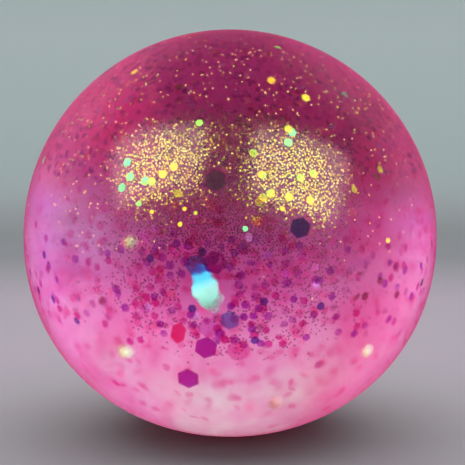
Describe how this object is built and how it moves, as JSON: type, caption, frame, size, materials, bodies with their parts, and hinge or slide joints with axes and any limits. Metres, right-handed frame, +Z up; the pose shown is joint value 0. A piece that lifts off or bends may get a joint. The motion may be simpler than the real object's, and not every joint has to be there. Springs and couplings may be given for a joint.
{
  "type": "squishy ball",
  "caption": "Soft clear pink ball with a gel filling and floating colour-shifting hexagonal glitter, resting on a flattened foot; squeezes down and springs back.",
  "frame": {"origin": "centre of the flat foot, at the plane the ball rests on", "axes": "+Z up through the filler plug and the crown; X and Y are free, the ball is round"},
  "size_m": [0.07, 0.07, 0.068],
  "materials": {
    "skin": "clear pink soft rubber, satin to glossy",
    "plug": "clear pink soft rubber",
    "gel": "clear pink gel",
    "magenta_film": "colour-shifting film, magenta seen through",
    "violet_film": "colour-shifting film, violet seen through",
    "indigo_film": "colour-shifting film, indigo seen through",
    "pink_film": "colour-shifting film, pink seen through",
    "purple_film": "colour-shifting film, purple seen through",
    "gold_film": "colour-shifting film, gold in the light",
    "fine_glitter": "fine colour-shifting glitter",
    "turquoise_film": "pearly turquoise film"
  },
  "bodies": {
    "base": {"skin_lower": "skin", "fill_plug": "plug", "gel_filling": "gel", "hex_magenta_lower": "magenta_film", "hex_violet_lower": "violet_film", "hex_indigo_lower": "indigo_film", "dot_pink_lower": "pink_film", "dot_purple_lower": "purple_film", "dot_gold_lower": "gold_film", "fine_glitter_lower": "fine_glitter", "film_flakes_lower": "turquoise_film"},
    "crown": {"skin_upper": "skin", "hex_magenta_upper": "magenta_film", "hex_violet_upper": "violet_film", "hex_indigo_upper": "indigo_film", "dot_pink_upper": "pink_film", "dot_purple_upper": "purple_film", "dot_gold_upper": "gold_film", "fine_glitter_upper": "fine_glitter", "film_flakes_upper": "turquoise_film"}
  },
  "joints": [
    {"name": "squeeze", "type": "slide", "parent": "base", "child": "crown", "axis": [0, 0, 1], "range_m": [-0.024, 0], "stiffness_N_per_m": 600, "springref_m": 0.002, "deforming": ["skin_upper", "skin_lower", "gel_filling", "hex_magenta_upper", "hex_magenta_lower", "hex_violet_upper", "hex_violet_lower", "hex_indigo_upper", "hex_indigo_lower", "dot_pink_upper", "dot_pink_lower", "dot_purple_upper", "dot_purple_lower", "dot_gold_upper", "dot_gold_lower", "fine_glitter_upper", "fine_glitter_lower", "film_flakes_upper", "film_flakes_lower"]}
  ]
}
